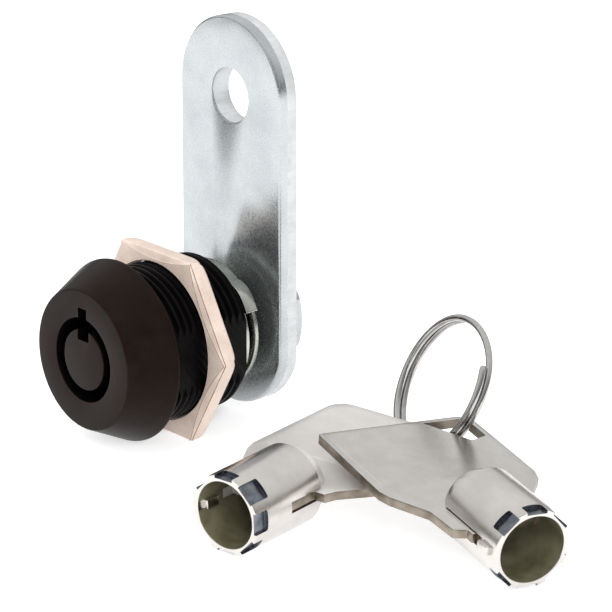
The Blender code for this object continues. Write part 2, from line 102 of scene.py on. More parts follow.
# Parts behind the barrel: spans are from front to back, and radii from inside to outside.
SHAFT_HOLE_R = 3.1
TAIL_GAP = 0.1
STOP_PLATE_R = 7.9
STOP_PLATE_SPAN = (12.45, 13.15)
STOP_RIM_SPAN = (12.45, 14.2)
STOP_RIM_R = (7.4, 8.2, 8.95)
STOP_RIM_ANGLES = (-62.0, 33.0, 65.0)
STOP_SLOT_R = (4.5, 6.1)
STOP_SLOT_ANGLES = (217, 333)
WAVE_R = (SHAFT_HOLE_R, 6.4)
WAVE_HALF_THICK = 0.15
WAVE_MIDDLE = 13.85
WAVE_RISE = 0.2
WAVES = 3
THRUST_R = (SHAFT_HOLE_R, 7.3)
THRUST_SPAN = (14.45, 15.05)
SPACER_R = (SHAFT_HOLE_R, 4.7)
SPACER_SPAN = (15.15, 16.68)
LOCK_WASHER_R = (2.97, 5.4)
LOCK_WASHER_SPAN = (19.63, 20.4)
CAM_SPAN = (16.78, 19.53)
CAM_HALF_W = 9.04
CAM_TOP_Z = 28.4
CAM_FOOT_Z = -0.8
CAM_FOOT_R = 9.4
CAM_HOLE_Z = 27.9
CAM_HOLE_R = 3.3
CAM_NUT_SPAN = (20.5, 23.45)
CAM_NUT_FLATS = 11.0
CAM_NUT_FACE_R = 5.35
CAM_NUT_CORNER_R = 6.1
CAM_NUT_CHAMFER = 0.45
CAM_NUT_BORE_R = 2.97
CAM_NUT_MOUTH_R = 3.3

# Keys: heading, rise and roll, then the pivot in the key's own frame. That frame starts at the
# middle of the tube's mouth, with Y along the tube and Z out of the bow's upper face.
KEY_TURNS = {
    "key_1": ((99.0, 3.15, 0.4), (8.0, 29.9)),
    "key_2": ((166.9, 6.4, 3.3), (6.55, 28.3)),
}
TUBE_R = 4.72
TUBE_BORE_R = 3.92
TUBE_LENGTH = 11.0
NIB = ((-5.3, 1.0, -0.55), (-3.3, 2.9, 0.55))
SLIT_WIDTH = 1.34
SLIT_STARTS = (4.2, 5.9)
NIB_GROOVE_START = 3.0
NIB_GROOVE_FLOOR_R = 4.25
CUT_FLOOR_R = 4.2
CUT_WIDTH = 2.5
KEY_CUTS = (2.0, 1.4, 2.7, 1.9, 1.6, 2.3, 1.7)
BOW_THICK = 1.1
BOW_HALF_W = 9.95
BOW_END = 31.6
RIGHT_CORNER_R = 2.2
LEFT_CORNER = {"key_1": (2.2, 0.0), "key_2": (0.5, 0.4)}
PANEL_OUTLINE = ((-8.9, 17.2), (8.9, 17.2), (8.9, 28.9), (7.3, 30.5), (-7.3, 30.5), (-8.9, 28.9))
PANEL_RISE = 0.04
COLLAR_PROFILE = ((0, 11.15), (4.05, 11.15), (4.05, 12.2), (3.9, 12.5), (3.55, 12.7), (0, 12.75))
RING_SLOT = ((3.6, 30.9), (6.9, 25.3), (9.2, 26.0), (9.2, 30.2), (8.5, 30.9))

# Split ring, from the lock's axis. It crosses over between these angles of its wire.
RING_CENTRE = Vector((33.85, 20.15, 0.02))
RING_HEADING = 73.8
RING_RISE = -28.0
RING_R = 8.05
RING_WIRE_R = 0.41
RING_START = 56.0
RING_SWEEP = 647.0
RING_CROSSING = (335.0, 425.0)
RING_TURN_GAP = 0.88
RING_END_SIZES = {0: 0.72, 1: 0.95}

# Materials: the range that most noise falls in, the line of wear along edges, and the depth of grain.
NOISE_RANGE = (0.3, 0.7)
WEAR_WIDTH = 0.12
WEAR_COSINES = (0.985, 0.90)
GRAIN_DEPTH = 0.02

# Floor, and the glow that it loses around the hidden gap under the barrel: a painted contact shadow.
FLOOR_SIZE = 3.0
FLOOR_TONE = 0.6
FLOOR_GLOW = 0.6
GAP_SHADOW = (-6.0, 9.5, -11.0)
GAP_SHADOW_REACH = (4, 10)

# Surroundings: brightness by height, and how they dim from one cosine to the other towards a side.
WORLD_TONES = ((0.0, 0.05), (0.12, 0.10), (0.25, 0.85), (0.7, 1.0))
DIM_SIDE = (0.95, -0.30, 0.0)
DIM_COSINES = (0.3, 0.9)
DIM_TONE = 0.35
WORLD_STRENGTH = 0.95

# Lights: place, size and power, in metres and watts.
LIGHT_TARGET = (0, 0, 0.015)
LIGHTS = {
    "key_light": ((-0.35, -0.35, 0.55), 0.9, 4.5),
    "fill_light": ((0.55, -0.25, 0.30), 0.4, 5),
    "back_light": ((-0.10, 0.55, 0.45), 0.5, 1),
}


# ---------------------------------------------------------------- materials


def nodes_of(material):
    """The node tree, its Principled shader and object coordinates."""
    tree = material.node_tree
    shader = tree.nodes["Principled BSDF"]
    coords = tree.nodes.new("ShaderNodeTexCoord")
    return tree, shader, coords


def noise(tree, coords, scale, detail=3.0, stretch=None):
    """Noise at this many waves a metre, stretched along an axis if asked."""
    texture = tree.nodes.new("ShaderNodeTexNoise")
    texture.inputs["Scale"].default_value = scale
    texture.inputs["Detail"].default_value = detail
    if stretch:
        mapping = tree.nodes.new("ShaderNodeMapping")
        mapping.inputs["Scale"].default_value = stretch
        tree.links.new(coords.outputs["Object"], mapping.inputs["Vector"])
        tree.links.new(mapping.outputs["Vector"], texture.inputs["Vector"])
    else:
        tree.links.new(coords.outputs["Object"], texture.inputs["Vector"])
    return texture


def ramp(tree, source, stops):
    """Colours along a noise, from (position, colour) stops."""
    made = tree.nodes.new("ShaderNodeValToRGB")
    elements = made.color_ramp.elements
    elements[0].position, elements[0].color = stops[0][0], (*stops[0][1], 1)
    elements[1].position, elements[1].color = stops[-1][0], (*stops[-1][1], 1)
    for position, colour in stops[1:-1]:
        element = elements.new(position)
        element.color = (*colour, 1)
    tree.links.new(source.outputs["Fac"], made.inputs["Fac"])
    return made


def spread(tree, source, low, high):
    """Maps a noise onto a range of numbers."""
    made = tree.nodes.new("ShaderNodeMapRange")
    made.inputs["From Min"].default_value = NOISE_RANGE[0]
    made.inputs["From Max"].default_value = NOISE_RANGE[1]
    made.inputs["To Min"].default_value = low
    made.inputs["To Max"].default_value = high
    tree.links.new(source.outputs["Fac"], made.inputs["Value"])
    return made


def bump(tree, shader, source, strength, distance):
    """Fine relief from a noise."""
    made = tree.nodes.new("ShaderNodeBump")
    made.inputs["Strength"].default_value = strength
    made.inputs["Distance"].default_value = distance
    tree.links.new(source.outputs["Fac"], made.inputs["Height"])
    tree.links.new(made.outputs["Normal"], shader.inputs["Normal"])


def grained(tree, tones, fine, low, high):
    """Darkens and lightens a colour a little with a fine noise."""
    grain = ramp(tree, fine, ((NOISE_RANGE[0], (low, low, low)), (NOISE_RANGE[1], (high, high, high))))
    mix = tree.nodes.new("ShaderNodeMixRGB")
    mix.blend_type = "MULTIPLY"
    mix.inputs["Fac"].default_value = 1.0
    tree.links.new(tones.outputs["Color"], mix.inputs["Color1"])
    tree.links.new(grain.outputs["Color"], mix.inputs["Color2"])
    return mix


def worn(tree, base, colour, width):
    """Shows the worn colour in a thin line along edges."""
    shape = tree.nodes.new("ShaderNodeNewGeometry")
    rounded = tree.nodes.new("ShaderNodeBevel")
    rounded.samples = 6
    rounded.inputs["Radius"].default_value = width * MM
    turn = tree.nodes.new("ShaderNodeVectorMath")
    turn.operation = "DOT_PRODUCT"
    edge = tree.nodes.new("ShaderNodeMapRange")
    edge.inputs["From Min"].default_value = WEAR_COSINES[0]
    edge.inputs["From Max"].default_value = WEAR_COSINES[1]
    mix = tree.nodes.new("ShaderNodeMixRGB")
    mix.inputs["Color2"].default_value = (*colour, 1)
    tree.links.new(shape.outputs["Normal"], turn.inputs[0])
    tree.links.new(rounded.outputs["Normal"], turn.inputs[1])
    tree.links.new(turn.outputs["Value"], edge.inputs["Value"])
    tree.links.new(edge.outputs["Result"], mix.inputs["Fac"])
    tree.links.new(base.outputs["Color"], mix.inputs["Color1"])
    return mix


def surface(name, dark, light, metallic, rough, blotch, grain, relief, wear=None, specular=0.5,
            stretch=None, contrast=(0.93, 1.0), tint=(1, 1, 1)):
    """A metal or coat: blotches of two tones, fine grain, uneven gloss and worn edges.

    blotch and grain are waves a metre, and relief is the strength of the grain's bump.
    """
    material = bpy.data.materials.new(name)
    material.use_nodes = True
    tree, shader, coords = nodes_of(material)
    shader.inputs["Metallic"].default_value = metallic
    shader.inputs["Specular IOR Level"].default_value = specular
    shader.inputs["Specular Tint"].default_value = (*tint, 1)
    patches = noise(tree, coords, blotch, 5.0)
    tones = ramp(tree, patches, ((0.3, dark), (0.68, light)))
    fine = noise(tree, coords, grain, 4.0, stretch)
    colour = grained(tree, tones, fine, *contrast)
    if wear:
        colour = worn(tree, colour, wear, WEAR_WIDTH)
    tree.links.new(colour.outputs["Color"], shader.inputs["Base Color"])
    gloss = spread(tree, fine, rough[0], rough[1])
    tree.links.new(gloss.outputs["Result"], shader.inputs["Roughness"])
    bump(tree, shader, fine, relief, GRAIN_DEPTH * MM)
    return material


def make_materials():
    """All the finishes, by name."""
    return {
        "black": surface("black_coat", (0.0055, 0.003, 0.0024), (0.0085, 0.0052, 0.0042), 0.0,
                         (0.32, 0.44), 420, 4200, 0.2, wear=(0.05, 0.034, 0.026), specular=0.11,
                         contrast=(0.75, 1.0), tint=(1.0, 0.74, 0.66)),
        # The black coat made darker and duller for the threads and the cam spacer: painted shade.
        "painted_shade_black": surface("painted_shade_black", (0.001, 0.0008, 0.001), (0.002, 0.0016, 0.0018), 0.0,
                                (0.30, 0.42), 600, 4000, 0.2, specular=0.07),
        # The darkest black, for faces inside the keyway and the bore: painted shade.
        "bore_painted_shade": surface("bore_painted_shade", (0.001, 0.0008, 0.0008), (0.002, 0.0015, 0.0015), 0.0,
                             (0.5, 0.65), 600, 3000, 0.2, specular=0.04),
        "nut_nickel": surface("nut_nickel", (0.60, 0.48, 0.41), (0.71, 0.585, 0.51), 0.2,
                              (0.42, 0.56), 420, 4600, 0.3, contrast=(0.86, 1.0)),
        # Dark brown for the nut's creases on two sides: painted shade.
        "nut_crease_shade": surface("nut_crease_shade", (0.10, 0.06, 0.04), (0.34, 0.24, 0.18), 0.3,
                              (0.45, 0.60), 1400, 4600, 0.3),
        "cam_zinc": surface("cam_zinc", (0.43, 0.455, 0.47), (0.51, 0.535, 0.55), 0.93,
                            (0.22, 0.32), 240, 3400, 0.12, wear=(0.60, 0.62, 0.63)),
        "bright_zinc": surface("bright_zinc", (0.40, 0.41, 0.37), (0.54, 0.55, 0.50), 1.0,
                               (0.20, 0.32), 400, 2600, 0.2, wear=(0.75, 0.76, 0.72)),
        "sheared": surface("sheared_edge", (0.52, 0.535, 0.545), (0.64, 0.655, 0.665), 0.5,
                           (0.40, 0.55), 500, 2600, 0.6, stretch=(1, 0.15, 1), contrast=(0.85, 1.0)),
        "steel": surface("drawn_steel", (0.40, 0.39, 0.38), (0.56, 0.55, 0.54), 1.0,
                         (0.17, 0.23), 500, 2400, 0.03),
        "spring": surface("spring_steel", (0.30, 0.30, 0.30), (0.42, 0.42, 0.41), 1.0,
                          (0.25, 0.40), 600, 3000, 0.2),
        "brass": surface("brass", (0.55, 0.40, 0.20), (0.68, 0.52, 0.28), 1.0,
                         (0.25, 0.40), 600, 3000, 0.2),
        "key_1_bow": surface("key_1_bow_nickel", (0.61, 0.585, 0.56), (0.67, 0.645, 0.62), 0.6,
                             (0.34, 0.44), 330, 4600, 0.12, wear=(0.76, 0.74, 0.70),
                             contrast=(0.91, 1.0)),
        "key_2_bow": surface("key_2_bow_nickel", (0.58, 0.56, 0.53), (0.65, 0.625, 0.595), 1.0,
                             (0.20, 0.27), 330, 4600, 0.05, wear=(0.76, 0.74, 0.70)),
        # Dark brown for the bows' side faces: partly the darker tone of a sheared edge, partly painted
        # shade.
        "bow_edge_sheared_and_shade": surface("bow_edge_sheared_and_shade", (0.20, 0.17, 0.135), (0.34, 0.30, 0.25), 1.0,
                            (0.32, 0.46), 700, 3000, 0.4),
        "key_tube": surface("key_tube_nickel", (0.61, 0.58, 0.55), (0.69, 0.66, 0.63), 1.0,
                            (0.23, 0.27), 330, 3000, 0.015, contrast=(0.96, 1.0)),
        "key_cut": surface("key_cut_steel", (0.11, 0.12, 0.14), (0.24, 0.26, 0.29), 1.0,
                           (0.24, 0.38), 900, 3600, 0.2, wear=(0.5, 0.52, 0.55)),
        "key_slit": surface("key_slit", (0.30, 0.23, 0.16), (0.50, 0.41, 0.30), 1.0,
                            (0.30, 0.42), 900, 3600, 0.3),
        "key_inside": surface("key_inside", (0.12, 0.11, 0.062), (0.23, 0.215, 0.14), 0.45,
                              (0.34, 0.50), 400, 2400, 0.3, specular=0.4),
    }


# ---------------------------------------------------------------- mesh tools


def polar(angle, radius):
    """X and Z at a clock angle: 0 is up and 90 is to +X."""
    turn = math.radians(angle)
    return radius * math.sin(turn), radius * math.cos(turn)


def arc(centre, radius, start, end, steps):
    """Points on an arc between two clock angles."""
    points = []
    for i in range(steps + 1):
        a, b = polar(start + (end - start) * i / steps, radius)
        points.append((centre[0] + a, centre[1] + b))
    return points


def soften(outline, radius, steps=4):
    """Rounds every corner of a closed outline."""
    result = []
    count = len(outline)
    for i in range(count):
        before = Vector(outline[i - 1])
        corner = Vector(outline[i])
        after = Vector(outline[(i + 1) % count])
        reach = min(radius, (before - corner).length * 0.45, (after - corner).length * 0.45)
        start = corner + (before - corner).normalized() * reach
        end = corner + (after - corner).normalized() * reach
        for k in range(steps + 1):
            t = k / steps
            point = start * (1 - t) ** 2 + corner * 2 * t * (1 - t) + end * t * t
            result.append((point.x, point.y))
    return result


def soften_line(line, radius, steps=4):
    """Rounds the corners of an open line, and leaves its two ends out."""
    ends = steps + 1
    return soften(line, radius, steps)[ends:-ends]


def shade(mesh, angle=32):
    """Smooth shading that keeps true edges sharp."""
    mesh.shade_smooth()
    mesh.set_sharp_from_angle(angle=math.radians(angle))


def to_object(bm, name, materials=()):
    """A linked object from a bmesh in millimetres."""
    bmesh.ops.remove_doubles(bm, verts=bm.verts, dist=0.0002)
    bmesh.ops.recalc_face_normals(bm, faces=bm.faces)
    mesh = bpy.data.meshes.new(name)
    bm.to_mesh(mesh)
    bm.free()
    mesh.transform(Matrix.Scale(MM, 4))
    for material in materials:
        mesh.materials.append(material)
    shade(mesh)
    obj = bpy.data.objects.new(name, mesh)
    bpy.context.collection.objects.link(obj)
    return obj


def turned(name, profile, segments=128, axis_xz=(0.0, 0.0), materials=()):
    """Turns a closed (radius, y) profile about an axis parallel to Y."""
    bm = bmesh.new()
    rings = []
    for step in range(segments):
        x, z = polar(360 * (step + 0.5) / segments, 1.0)
        row = []
        for radius, y in profile:
            row.append(bm.verts.new((axis_xz[0] + radius * x, y, axis_xz[1] + radius * z)))
        rings.append(row)
    count = len(profile)
    for step in range(segments):
        here, there = rings[step], rings[(step + 1) % segments]
        for i in range(count):
            j = (i + 1) % count
            on_axis = (profile[i][0] == 0, profile[j][0] == 0)
            if all(on_axis):
                continue
            if on_axis[0]:
                bm.faces.new((here[i], here[j], there[j]))
            elif on_axis[1]:
                bm.faces.new((here[i], here[j], there[i]))
            else:
                bm.faces.new((here[i], here[j], there[j], there[i]))
    return to_object(bm, name, materials)


def washer(name, radii, span, edge):
    """A flat ring with softened edges."""
    square = ((radii[0], span[0]), (radii[1], span[0]), (radii[1], span[1]), (radii[0], span[1]))
    return turned(name, soften(square, edge))


def prism(name, outline, span, along="Y", index=0):
    """Extrudes a closed outline, in XZ along Y or in XY along Z."""
    bm = bmesh.new()
    ends = []
    for level in span:
        row = []
        for a, b in outline:
            row.append(bm.verts.new((a, level, b) if along == "Y" else (a, b, level)))
        ends.append(row)
        bm.faces.new(row)
    count = len(outline)
    for i in range(count):
        j = (i + 1) % count
        bm.faces.new((ends[0][i], ends[0][j], ends[1][j], ends[1][i]))
    for face in bm.faces:
        face.material_index = index
    return to_object(bm, name)


def block(name, low, high, index=0):
    """A box between two corners."""
    outline = ((low[0], low[2]), (high[0], low[2]), (high[0], high[2]), (low[0], high[2]))
    return prism(name, outline, (low[1], high[1]), index=index)


def settle(obj):
    """Applies the object's modifiers to its mesh."""
    bpy.context.view_layer.update()
    evaluated = obj.evaluated_get(bpy.context.evaluated_depsgraph_get())
    mesh = bpy.data.meshes.new_from_object(evaluated)
    obj.modifiers.clear()
    obj.data = mesh
    shade(mesh)
    return obj


def round_edges(obj, width, segments=2, angle=50):
    """Rounds the sharp edges of a plain solid."""
    bevel = obj.modifiers.new("Bevel", "BEVEL")
    bevel.width = width * MM
    bevel.segments = segments
    bevel.limit_method = "ANGLE"
    bevel.angle_limit = math.radians(angle)
    return settle(obj)


def combine(obj, tools, operation):
    """Joins or cuts the tools, then removes them."""
    for tool in tools:
        modifier = obj.modifiers.new(tool.name, "BOOLEAN")
        modifier.object = tool
        modifier.operation = operation
        modifier.solver = "EXACT"
    settle(obj)
    for tool in tools:
        bpy.data.objects.remove(tool, do_unlink=True)


def dress(obj, *materials):
    """Gives the object these materials and no others."""
    obj.data.materials.clear()
    for material in materials:
        obj.data.materials.append(material)


def place(obj, matrix, body, node):
    """Sets a finished piece in the frame, on its body, in place of its CAD node."""
    obj.data.transform(matrix)
    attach(obj, body)
    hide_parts(node)


# ---------------------------------------------------------------- lock pieces


def thread_level(position):
    """Height of a thread, 0 at its root to 1 at its crest, for a position of 0 to 1 across its pitch."""
    root_width, flank_width = 0.22, 0.56
    return min(max((abs(2 * position - 1) - root_width) / flank_width, 0.0), 1.0)


def thread_radius(thread, span, y, position):
    """Radius of a thread that fades out towards both ends of its span."""
    fade = min(1.0, (y - span[0]) / thread["fade_in"], (span[1] - y) / thread["fade_out"])
    bite = thread["depth"] * (1 - thread_level(position) * fade)
    if not thread["ends_low"]:
        bite *= fade
    return thread["crest_r"] - bite


def add_threaded(bm, before, span, after, thread, segments):
    """Turns a profile whose stretch from span[0] to span[1] carries a right-hand thread."""
    per_turn = 8
    start, end = span
    pitch = thread["pitch"]
    stations = per_turn + int(math.ceil((end - start) / pitch * per_turn)) + 1
    rings = []
    for step in range(segments):
        turn = step / segments
        x, z = polar(360 * turn, 1.0)
        middle = []
        for i in range(stations):
            y = start + (i - per_turn) * pitch / per_turn + pitch * turn
            y = min(max(y, start), end)
            radius = thread_radius(thread, span, y, (i % per_turn) / per_turn)
            middle.append(bm.verts.new((radius * x, y, radius * z)))
        lead = [bm.verts.new((radius * x, y, radius * z)) for radius, y in before]
        tail = [bm.verts.new((radius * x, y, radius * z)) for radius, y in after]
        rings.append((lead, middle, tail))
    for step in range(segments):
        here = rings[step]
        wrap = step == segments - 1
        there = rings[0] if wrap else rings[step + 1]
        shift = per_turn if wrap else 0
        other_middle = [there[1][min(i + shift, stations - 1)] for i in range(stations)]
        this_loop = here[0] + here[1] + here[2]
        other_loop = there[0] + other_middle + there[2]
        count = len(this_loop)
        for i in range(count):
            j = (i + 1) % count
            corners = []
            for vert in (this_loop[i], this_loop[j], other_loop[j], other_loop[i]):
                if vert not in corners:
                    corners.append(vert)
            if len(corners) > 2 and bm.faces.get(corners) is None:
                bm.faces.new(corners)


def tidy_ends(bm):
    """Removes the flat slivers that the ends of a thread leave."""
    bmesh.ops.remove_doubles(bm, verts=bm.verts, dist=0.002)
    bmesh.ops.dissolve_degenerate(bm, edges=bm.edges, dist=0.001)


def make_housing(mats):
    """Cone bezel, keyway and threaded barrel with two flats."""
    bezel = soften(((KEYWAY_R, LIP_BACK), (KEYWAY_R, BEZEL_Y), (BEZEL_FACE_R, BEZEL_Y),
                    (BEZEL_R, -BEZEL_RIM), (BEZEL_R, 0.0), (BARREL_NECK_R, 0.0)), 0.16, 3)
    bore = [(BARREL_THREAD["crest_r"] - 0.75, BARREL_END), (BORE_R + 0.2, BARREL_END),
            (BORE_R, BARREL_END - 0.2), (BORE_R, LIP_BACK)]
    bm = bmesh.new()
    add_threaded(bm, bezel, (0.0, BARREL_END), bore, BARREL_THREAD, 240)
    tidy_ends(bm)
    housing = to_object(bm, "bezel_and_barrel")
    far_x, far_y, far_z = 13, 14, 12
    cutters = [
        block("notch", (-KEYWAY_NOTCH_HALF_W, BEZEL_Y - 1, 4.0),
              (KEYWAY_NOTCH_HALF_W, LIP_BACK + 0.5, KEYWAY_NOTCH_TOP)),
        block("flat_left", (-far_x, BARREL_FLAT_START, -far_z), (-BARREL_FLAT, far_y, far_z)),
        block("flat_right", (BARREL_FLAT, BARREL_FLAT_START, -far_z), (far_x, far_y, far_z)),
    ]
    combine(housing, cutters, "DIFFERENCE")
    dress(housing, mats["black"], mats["painted_shade_black"], mats["bore_painted_shade"])
    for polygon in housing.data.polygons:
        centre = polygon.center / MM
        radius = math.hypot(centre.x, centre.z)
        # Faces inside the keyway and the bore take the darkest black: painted shade.
        if radius < KEYWAY_R + 0.02 or (radius < BORE_R + 0.1 and centre.y > BEZEL_Y + 0.3):
            polygon.material_index = 2
        # The threads take the darker black: painted shade.
        elif centre.y > 0.02:
            polygon.material_index = 1
    place(housing, Matrix.Translation(LOCK), "housing", "housing")


def nut_section(side, across):
    """Points round one section of the mounting nut, for across of -1 to 1 along one of its sides."""
    tangent = across * NUT_APOTHEM * math.tan(math.radians(30))
    inner = NUT_APOTHEM - (NUT_BITES[0] + NUT_BITES[1] * (1 - across * across))
    along = tangent * inner / NUT_APOTHEM
    trim = abs(across) ** 10
    turn = Matrix.Rotation(math.radians(60 * side), 3, "Y")
    outer = turn @ Vector((tangent, 0, NUT_APOTHEM))
    x, z = polar(math.degrees(math.atan2(outer.x, outer.z)), 1.0)
    rim = (
        (along, NUT_FRONT + 0.005, inner),
        (along * 1.004, NUT_FRONT + 0.045, inner + 0.06),
        (tangent, NUT_FRONT + 0.2, NUT_APOTHEM - 0.1),
        (tangent, NUT_FRONT + 0.27, NUT_APOTHEM - 0.02),
        (tangent, NUT_FRONT + 0.36, NUT_APOTHEM),
        (tangent * (1 - 0.01 * trim), NUT_BACK - 0.25 - 0.45 * trim, NUT_APOTHEM - 0.1 * trim),
        (tangent * (1 - 0.05 * trim), NUT_BACK, NUT_APOTHEM - 0.16 - 0.55 * trim),
    )
    mouth_r = NUT_BORE_R + 0.2
    front = [Vector((x * NUT_BORE_R, NUT_FRONT + 0.28, z * NUT_BORE_R)),
             Vector((x * mouth_r, NUT_FRONT, z * mouth_r))]
    back = [Vector((x * mouth_r, NUT_BACK, z * mouth_r)),
            Vector((x * NUT_BORE_R, NUT_BACK - 0.28, z * NUT_BORE_R))]
    return front + [turn @ Vector(point) for point in rim] + back


def make_mounting_nut(mats):
    """Hex nut whose front edges are pressed down in shallow curved facets."""
    bm = bmesh.new()
    loops = []
    for side in range(6):
        for k in range(NUT_STEPS):
            section = nut_section(side, -1 + 2 * k / NUT_STEPS)
            loops.append([bm.verts.new(point) for point in section])
    for i, here in enumerate(loops):
        there = loops[(i + 1) % len(loops)]
        for a in range(len(here)):
            b = (a + 1) % len(here)
            face = bm.faces.new((here[a], here[b], there[b], there[a]))
            # Painted shade along the crease, on two of the sides only.
            crease_shaded = a in SHADED_CREASE_STRIPS and i // NUT_STEPS in SHADED_CREASE_SIDES
            face.material_index = 1 if crease_shaded else 0
    nut = to_object(bm, "mounting_hex_nut", (mats["nut_nickel"], mats["nut_crease_shade"]))
    shade(nut.data, 8)
    place(nut, Matrix.Translation(LOCK), "housing", "mounting_nut")


def double_d(name, y_range):
    """A cutter for the hole that fits the tail's two flats."""
    radius = TAIL_R + TAIL_GAP
    half = TAIL_FLAT + TAIL_GAP
    split = math.degrees(math.asin(half / radius))
    outline = arc((0, 0), radius, -split, split, 20)
    outline += arc((0, 0), radius, 180 - split, 180 + split, 20)
    return prism(name, outline, (y_range[0] - 1, y_range[1] + 1))


def make_rotor(mats):
    """Post in the keyway, pin plate, and a tail with a threaded end."""
    front, back = PLATE_SPAN
    lead = [(0, POST_FRONT)]
    lead += soften_line(((0.5, POST_FRONT), (POST_R, POST_FRONT), (POST_R, front), (PLATE_R, front),
                         (PLATE_R, back), (TAIL_R, back)), 0.18, 3)
    lead += [(TAIL_R, back), (TAIL_R, TAIL_THREAD_START)]
    bm = bmesh.new()
    add_threaded(bm, lead, (TAIL_THREAD_START, TAIL_END), [(0, TAIL_END)], TAIL_THREAD, 96)
    tidy_ends(bm)
    rotor = to_object(bm, "rotor_and_tail")
    cutters = [block("post_notch", (-POST_NOTCH_HALF_W, POST_FRONT - 1, POST_NOTCH_FLOOR),
                     (POST_NOTCH_HALF_W, front - 0.1, 5))]
    for side in (-1, 1):
        low_x, high_x = sorted((side * TAIL_FLAT, side * 4))
        cutters.append(block(f"tail_flat_{side}", (low_x, TAIL_FLAT_START, -4), (high_x, TAIL_END + 1, 4)))
    hole = ((0, -1.2), (PIN_HOLE_R, -1.2), (PIN_HOLE_R, 4), (0, 4))
    for i in range(1, 8):
        cutters.append(turned(f"plate_hole_{i}", hole, 24, polar(45 * i, PIN_CIRCLE_R)))
    combine(rotor, cutters, "DIFFERENCE")
    dress(rotor, mats["black"], mats["bright_zinc"], mats["bore_painted_shade"])
    # The post and plate inside the keyway take the darkest black: painted shade.
    for polygon in rotor.data.polygons:
        y = polygon.center.y / MM
        if y > TAIL_BARE_START:
            polygon.material_index = 1
        elif y > POST_FRONT + 0.3:
            polygon.material_index = 2
    place(rotor, Matrix.Translation(LOCK), "rotor", "rotor")


def sector(name, radii, angles, span):
    """A curved bar between two radii and two clock angles."""
    steps = 40
    outline = arc((0, 0), radii[1], angles[0], angles[1], steps)
    outline += arc((0, 0), radii[0], angles[1], angles[0], steps)
    return prism(name, outline, span)


def ear_outline():
    """Outline of the stretch of rim that swells outwards to the stop plate's ear."""
    inner, low, high = STOP_RIM_R
    start, end = STOP_RIM_ANGLES[1:]
    steps = 24
    outline = [polar(start, low - 0.1)]
    for i in range(steps + 1):
        part = i / steps
        swell = min(1.0, part * 1.7)
        outline.append(polar(start + (end - start) * part, low + (high - low) * swell * (2 - swell)))
    return outline + arc((0, 0), inner - 0.02, end, start, 20)


def make_stop_plate(mats):
    """Plate with a turned-up rim that steps out to an ear."""
    front, back = STOP_PLATE_SPAN
    edge = 0.1
    profile = ((0, front), (STOP_PLATE_R - edge, front), (STOP_PLATE_R, front + edge),
               (STOP_PLATE_R, back - edge), (STOP_PLATE_R - edge, back), (0, back))
    plate = turned("stop_plate_pressing", profile, 160)
    rim_angles = (STOP_RIM_ANGLES[0], STOP_RIM_ANGLES[1] + 1)
    rim = round_edges(sector("rim", STOP_RIM_R[:2], rim_angles, STOP_RIM_SPAN), 0.12)
    ear = round_edges(prism("ear", ear_outline(), STOP_RIM_SPAN), 0.14)
    combine(plate, [rim, ear], "UNION")
    slot = sector("stop_slot", STOP_SLOT_R, STOP_SLOT_ANGLES, (11, 15))
    combine(plate, [slot, double_d("bore", STOP_PLATE_SPAN)], "DIFFERENCE")
    dress(plate, mats["bright_zinc"])
    place(plate, Matrix.Translation(LOCK), "rotor", "stop_plate")


def make_wave_washer(mats):
    """Thin spring washer with three waves."""
    inner, outer = WAVE_R
    half = WAVE_HALF_THICK
    section = soften(((inner, -half), (outer, -half), (outer, half), (inner, half)), 0.06, 2)
    segments = 144
    bm = bmesh.new()
    rings = []
    for step in range(segments):
        angle = 360 * step / segments
        x, z = polar(angle, 1.0)
        middle = WAVE_MIDDLE + WAVE_RISE * math.sin(math.radians(WAVES * angle))
        rings.append([bm.verts.new((radius * x, middle + offset, radius * z)) for radius, offset in section])
    for step in range(segments):
        here, there = rings[step], rings[(step + 1) % segments]
        for i in range(len(section)):
            j = (i + 1) % len(section)
            bm.faces.new((here[i], here[j], there[j], there[i]))
    wave = to_object(bm, "wave_spring_washer")
    dress(wave, mats["spring"])
    place(wave, Matrix.Translation(LOCK), "rotor", "wave_washer")


def make_washers(mats):
    """Thrust washer, cam spacer and split lock washer."""
    thrust = washer("thrust_washer_disc", THRUST_R, THRUST_SPAN, 0.12)
    dress(thrust, mats["bright_zinc"])
    place(thrust, Matrix.Translation(LOCK), "rotor", "thrust_washer")
    spacer = washer("cam_spacer_collar", SPACER_R, SPACER_SPAN, 0.18)
    # The spacer, in the gap behind the stop plate, takes the darker black: painted shade.
    dress(spacer, mats["painted_shade_black"])
    place(spacer, Matrix.Translation(LOCK), "rotor", "cam_spacer")
    lock_washer = washer("split_lock_washer", LOCK_WASHER_R, LOCK_WASHER_SPAN, 0.12)
    split = block("split", (-0.35, 19, -7), (0.35, 21, -2))
    combine(lock_washer, [split], "DIFFERENCE")
    dress(lock_washer, mats["steel"])
    place(lock_washer, Matrix.Translation(LOCK), "rotor", "lock_washer")


def cam_outline(inset):
    """The cam's edge, drawn in by this much: a half circle over straight sides and a flatter foot."""
    side = CAM_HALF_W - inset
    foot_half = math.degrees(math.asin(CAM_HALF_W / CAM_FOOT_R))
    top = arc((0, CAM_TOP_Z), side, -90, 90, 64)
    foot = arc((0, CAM_FOOT_Z), CAM_FOOT_R - inset, 180 - foot_half, 180 + foot_half, 56)
    return top + [(max(-side, min(side, x)), z) for x, z in foot]


